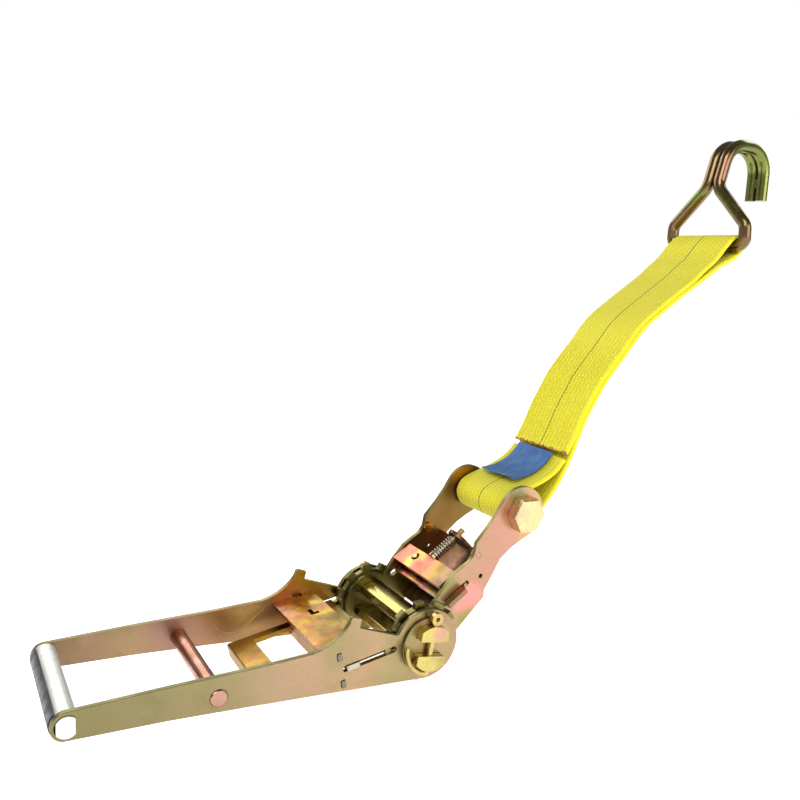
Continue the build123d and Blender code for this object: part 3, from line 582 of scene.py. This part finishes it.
# ------------------------------------------------------------------ the webbing, one ribbon
T = 2.7
BX, BZ = 92.0 * math.cos(math.radians(44.35)), 92.0 * math.sin(math.radians(44.35))
BAR_X, BAR_Z = 230.4, 224.6
FRONT = [(101.2, 98.0), (104.4, 105.8), (109.4, 117.3), (116.4, 129.6), (122.3, 139.2),
         (131.5, 150.4), (139.2, 159.2), (146.4, 168.2), (154.0, 175.8), (167.0, 184.9),
         (180.7, 193.9), (194.8, 203.0)]
BACK = [(105.6, 93.6), (109.5, 103.4), (114.3, 114.9), (120.9, 126.6), (126.6, 135.6),
        (135.4, 146.7), (143.2, 155.6), (150.4, 164.4), (157.6, 171.5), (170.2, 180.4),
        (183.6, 189.3), (197.4, 198.3)]
f, b = np.array(FRONT), np.array(BACK)
gap = (b - f) / np.linalg.norm(b - f, axis=1)[:, None]
front_mid, back_mid = f + gap * T / 2, b - gap * T / 2
bar = [(BAR_X + 5.75 * math.cos(math.radians(a)), BAR_Z + 5.75 * math.sin(math.radians(a))) for a in (128, 92, 55, 15, -25, -60)]
path = (
    [(100.3, 95.6)] + [tuple(p) for p in front_mid[1:]]
    + [(203.6, 208.4), (210.6, 213.4), (216.0, 218.6), (220.6, 223.8)]
    + bar
    + [(227.6, 216.0), (221.6, 213.4), (214.6, 209.8), (206.6, 204.6)]
    + [tuple(p) for p in back_mid[::-1][1:]]
    + [(101.4, 87.6), (96.8, 79.6), (91.4, 71.9), (84.6, 64.4), (78.2, 58.7), (72.4, 55.5)]
    + [(BX + 8.75 * math.cos(math.radians(a)), BZ + 8.75 * math.sin(math.radians(a))) for a in (-95, -130, 180, 140, 112)]
    + [(70.9, 75.6), (80.2, 78.7), (88.4, 82.3), (94.6, 86.6), (99.2, 91.8)]
)
line = curve_through(path, 0.62)
tan = np.gradient(line, axis=0)
tan /= np.linalg.norm(tan, axis=1)[:, None]
nor = np.stack([-tan[:, 1], tan[:, 0]], axis=1)  # left of the way it runs: the ribbon's outer face
rng = np.random.default_rng(7)

# cross-section: outer face with cords, rounded selvage, plainer inner face
half, ht = 25.0, T / 2 - 0.16
ys, hs, cord_id = [], [], []
for y in np.linspace(-23.9, 23.9, 93):
    c = y / 3.1
    prof = math.sqrt(max(0.0, 1 - (2 * abs((c % 1.0) - 0.5)) ** 2.4))
    ys.append(y)
    hs.append(prof)
    cord_id.append(int(math.floor(c)))
outer_n = len(ys)
ring_y = list(ys)
ring_h = [ht] * outer_n
relief = list(hs)
for k in range(1, 6):  # right selvage
    a = math.pi / 2 - math.pi * k / 6
    ring_y.append(23.9 + 1.1 * math.cos(a))
    ring_h.append(ht * math.sin(a))
    relief.append(0.0)
inner = np.linspace(23.9, -23.9, 33)
for y in inner:
    ring_y.append(y)
    ring_h.append(-ht)
    relief.append(0.0)
for k in range(1, 6):
    a = -math.pi / 2 - math.pi * k / 6
    ring_y.append(-23.9 + 1.1 * math.cos(a))
    ring_h.append(ht * math.sin(a))
    relief.append(0.0)
ring_y, ring_h, relief = map(np.array, (ring_y, ring_h, relief))
parity = np.zeros(len(ring_y), int)
parity[:outer_n] = np.array(cord_id) % 2
R, C = len(line), len(ring_y)
along = np.concatenate([[0], np.cumsum(np.linalg.norm(np.diff(line, axis=0), axis=1))])
rung = np.where((np.arange(R)[:, None] + parity[None, :]) % 2 == 0, 1.0, 0.45)
amp = 0.2 * rung * relief[None, :]
# the width wanders slightly and the face is not quite flat
wav = 1 + 0.004 * np.sin(along / 23.0)[:, None] + 0.003 * np.sin(along / 7.1 + 1.0)[:, None]
low = 0.10 * np.sin(along[:, None] / 9.0 + ring_y[None, :] / 11.0)
hh = ring_h[None, :] + amp + low * 0.4
yy = ring_y[None, :] * wav
X = line[:, 0][:, None] + nor[:, 0][:, None] * hh
Z = line[:, 1][:, None] + nor[:, 1][:, None] * hh
verts = np.stack([X, yy, Z], axis=2).reshape(-1, 3) * MM
uvs = np.stack([np.clip(ring_y / 50.0 + 0.5, 0, 1)[None, :].repeat(R, 0), (along / 50.0)[:, None].repeat(C, 1)], axis=2).reshape(-1, 2)
i, j = np.meshgrid(np.arange(R - 1), np.arange(C), indexing="ij")
j2 = (j + 1) % C
faces = np.stack([i * C + j, (i + 1) * C + j, (i + 1) * C + j2, i * C + j2], axis=2).reshape(-1, 4).tolist()
faces.append(list(range(C)))
faces.append([(R - 1) * C + k for k in range(C)][::-1])
webbing = add_mesh("strap_web", verts, faces, web_mat, "strap", uvs=uvs)
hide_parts("strap_webbing")


def on_front(s, y, lift):
    """A point above the ribbon's outer face, s mm from the cut end."""
    k = np.searchsorted(along, s)
    k = min(max(k, 1), R - 1)
    w = (s - along[k - 1]) / (along[k] - along[k - 1])
    c = line[k - 1] * (1 - w) + line[k] * w
    n = nor[k - 1] * (1 - w) + nor[k] * w
    h = T / 2 + lift
    return np.array([c[0] + n[0] * h, y, c[1] + n[1] * h])


# seared cut end
sear_line = []
for y in np.linspace(-24.6, 24.6, 60):
    q = on_front(0.1, y, -T / 2 + 0.1)
    sear_line.append(q + np.array([-0.15 * math.sin(y * 1.7), 0, 0.22 * math.sin(y * 1.1 + 1)]))
rad = 1.25 + 0.16 * np.sin(np.linspace(0, 31, 60)) + 0.1 * np.sin(np.linspace(0, 77, 60))
v, fc = tube("sear", sear_line, rad, sear_mat, "strap", sides=10)
sear = add_mesh("strap_seared_end", v, fc, sear_mat, "strap")

# sewing: lengthwise rows near the cut end
sv, sf = [], []
for r in range(16):
    y = -23.25 + r * 3.1
    if abs(y) > 23.4:
        continue
    s = 3.0 + 0.6 * (r % 2)
    end = 66.0 + 5.0 * math.sin(r * 2.1)
    while s < end:
        pts = []
        for q in np.linspace(0, 1, 5):
            pts.append(on_front(s + 2.5 * q, y + 0.12 * math.sin(s + r), 0.05 + 0.22 * math.sin(math.pi * q)))
        v, fc = tube("t", pts, [0.22, 0.34, 0.36, 0.34, 0.22], thread_mat, None, sides=6)
        base = len(sv)
        sv += v
        sf += [tuple(k + base for k in q) for q in fc]
        s += 3.3
stitches = add_mesh("strap_stitches", sv, sf, thread_mat, "strap")

# ------------------------------------------------------------------ label
lab_line = curve_through([(68.6, 79.9), (73.5, 80.2), (80.0, 81.6), (86.6, 84.6), (92.4, 89.0), (97.4, 94.6)], 0.8)
lt = np.gradient(lab_line, axis=0)
lt /= np.linalg.norm(lt, axis=1)[:, None]
ln = np.stack([-lt[:, 1], lt[:, 0]], axis=1)
LW = np.linspace(-15.5, 17.5, 42)
lv, luv = [], []
LR = len(lab_line)
for side in (1, -1):
    for i in range(LR):
        t = i / (LR - 1)
        for k, y in enumerate(LW):
            w = k / (len(LW) - 1)
            curl = 0.9 * (1 - t) ** 3 * (0.6 + 0.4 * math.cos(3.0 * w)) + 0.25 * math.sin(7 * w + 5 * t) * (0.3 + (1 - t))
            fray = 0.12 * math.sin(23 * w * math.pi) if i in (0, LR - 1) else 0.0
            edge = 0.1 * math.sin(i * 1.9) if k in (0, len(LW) - 1) else 0.0
            c = lab_line[i] + ln[i] * (curl + side * 0.2) + lt[i] * fray
            lv.append((c[0] * MM, (y + edge) * MM, c[1] * MM))
            luv.append((w, t))
lf = []
W = len(LW)
for i in range(LR - 1):
    for k in range(W - 1):
        a = i * W + k
        lf.append((a, a + W, a + W + 1, a + 1))
        a += LR * W
        lf.append((a, a + 1, a + W + 1, a + W))
rimidx = [k for k in range(W)] + [i * W + W - 1 for i in range(1, LR)] + [(LR - 1) * W + k for k in range(W - 2, -1, -1)] + [i * W for i in range(LR - 2, 0, -1)]
for a, c in zip(rimidx, rimidx[1:] + rimidx[:1]):
    lf.append((a, c, c + LR * W, a + LR * W))
label = add_mesh("label_cloth", lv, lf, label_mat, "strap", uvs=luv)
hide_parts("strap_label")


# ------------------------------------------------------------------ springs
def pawl_frame(angle):
    a = math.radians(angle)
    d = np.array([math.cos(a), 0, math.sin(a)])
    u = np.array([-math.sin(a), 0, math.cos(a)])
    return d, (u if u[2] > 0 else -u)


def coil(s0, s1, y, n, angle, radius, wire, turns):
    d, u = pawl_frame(angle)
    yv = np.array([0, 1.0, 0])
    out = []
    N = int(turns * 22)
    for k in range(N + 1):
        t = k / N
        # closed end turns
        e = 0.9 / turns
        g = np.interp(t, [0, e, 1 - e, 1], [0, wire * 1.0 / (s1 - s0), 1 - wire * 1.0 / (s1 - s0), 1])
        s = s0 + wire / 2 + (s1 - s0 - wire) * g
        a = 2 * math.pi * turns * t
        out.append(d * s + u * (n + radius * math.cos(a)) + yv * (y + radius * math.sin(a)))
    return out


for nm, y in (("drive_spring_left", -11.0), ("drive_spring_right", 11.0)):
    pts = coil(37.6, 49.4, y, 4.45, 190.26, 2.55, 0.8, 8)
    v, fc = tube(nm, pts, 0.42, spring_steel, None, sides=8)
    o = add_mesh(nm, v, fc, spring_steel, None)
    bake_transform(o)
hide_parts("drive_pawl_springs")
pts = coil(40.3, 55.8, 0.0, 12.4, 35.09, 2.85, 0.9, 9)
v, fc = tube("lock_spring_coil", pts, 0.45, spring_steel, None, sides=8)
o = add_mesh("lock_spring_coil", v, fc, spring_steel, None)
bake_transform(o)
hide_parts("lock_pawl_spring")

# ------------------------------------------------------------------ pressed rib on the far plate's inner face
rib = curve_through([(-96.5, -2.2), (-94.8, -3.4), (-90.6, -6.6), (-86.1, -8.4), (-81.4, -8.4), (-77.2, -6.6), (-71.4, -1.6), (-67.2, 2.0), (-64.8, 3.4)], 0.7)
rv, rf = [], []
prof = [(-0.9, 0.0), (-0.6, 0.2), (-0.2, 0.34), (0.2, 0.34), (0.6, 0.2), (0.9, 0.0)]
rt = np.gradient(rib, axis=0)
rt /= np.linalg.norm(rt, axis=1)[:, None]
for i in range(len(rib)):
    e = min(1.0, 3.2 * min(i, len(rib) - 1 - i) / len(rib) + 0.05)
    for a, h in prof:
        rv.append(((rib[i][0] - rt[i][1] * a * e) * MM, (35.02 - h * e) * MM, (rib[i][1] + rt[i][0] * a * e) * MM))
P = len(prof)
for i in range(len(rib) - 1):
    for k in range(P - 1):
        a = i * P + k
        rf.append((a, a + 1, a + P + 1, a + P))
    rf.append((i * P + P - 1, i * P, (i + 1) * P, (i + 1) * P + P - 1))
rf.append(tuple(range(P))[::-1])
rf.append(tuple((len(rib) - 1) * P + k for k in range(P)))
pressed = add_mesh("handle_pressed_line", rv, rf, far_handle, "handle")

# ------------------------------------------------------------------ floor and light
floor_z = cad_lo.z - 0.0006
me = bpy.data.meshes.new("floor")
S = 6.0
me.from_pydata([(-S, -S, floor_z), (S, -S, floor_z), (S, S, floor_z), (-S, S, floor_z)], [], [(0, 1, 2, 3)])
floor = bpy.data.objects.new("floor", me)
scene.collection.objects.link(floor)
_m = Nodes("floor_paper", Specular_IOR_Level=0.1, Emission_Color=(1.0, 1.0, 1.0, 1.0), Emission_Strength=0.85)
_p = _m.coord()
_m.put(_m.bsdf.inputs["Base Color"], _m.mix(_m.span(_m.noise(_p, 3.0, 2, 0.5), 0.3, 0.7), lin(246, 246, 246), lin(250, 250, 250)))
_m.bsdf.inputs["Roughness"].default_value = 0.9
me.materials.append(_m.mat)

world = bpy.data.worlds.new("studio")
scene.world = world
world.use_nodes = True
wt = world.node_tree
wt.nodes.clear()
wo = wt.nodes.new("ShaderNodeOutputWorld")
bg = wt.nodes.new("ShaderNodeBackground")
seen = wt.nodes.new("ShaderNodeBackground")
pick = wt.nodes.new("ShaderNodeMixShader")
lp = wt.nodes.new("ShaderNodeLightPath")
tc = wt.nodes.new("ShaderNodeTexCoord")
sx = wt.nodes.new("ShaderNodeSeparateXYZ")
cr = wt.nodes.new("ShaderNodeValToRGB")
wt.links.new(tc.outputs["Generated"], sx.inputs[0])
wt.links.new(sx.outputs[2], cr.inputs[0])
els = cr.color_ramp.elements
els[0].position, els[0].color = 0.0, (0.85, 0.85, 0.85, 1)
els[1].position, els[1].color = 1.0, (0.30, 0.30, 0.31, 1)
e = els.new(0.25)
e.color = (0.62, 0.62, 0.62, 1)
e = els.new(0.6)
e.color = (0.34, 0.34, 0.35, 1)
wt.links.new(cr.outputs[0], bg.inputs[0])
bg.inputs[1].default_value = 0.75
seen.inputs[0].default_value = (1, 1, 1, 1)
seen.inputs[1].default_value = 1.0
wt.links.new(lp.outputs["Is Camera Ray"], pick.inputs[0])
wt.links.new(bg.outputs[0], pick.inputs[1])
wt.links.new(seen.outputs[0], pick.inputs[2])
wt.links.new(pick.outputs[0], wo.inputs[0])


def softbox(name, place, look, size, power, tint=(1, 1, 1)):
    ld = bpy.data.lights.new(name, "AREA")
    ld.shape = "RECTANGLE"
    ld.size, ld.size_y = size
    ld.energy = power
    ld.color = tint
    lo_ = bpy.data.objects.new(name, ld)
    scene.collection.objects.link(lo_)
    lo_.location = place
    lo_.rotation_mode = "QUATERNION"
    lo_.rotation_quaternion = (Vector(look) - Vector(place)).to_track_quat("-Z", "Y")
    return lo_


target = (0.03, 0.0, 0.1)
softbox("key", (-0.9, -0.9, 1.25), target, (1.1, 1.1), 17)
softbox("front", (0.45, -1.5, 0.55), target, (1.3, 0.9), 12)
softbox("side", (1.3, 0.1, 0.7), target, (0.8, 1.0), 8)
softbox("back", (-0.2, 1.4, 1.0), target, (1.4, 0.7), 9)

scene.view_settings.view_transform = "Standard"
scene.view_settings.look = "None"
scene.view_settings.exposure = 0.0
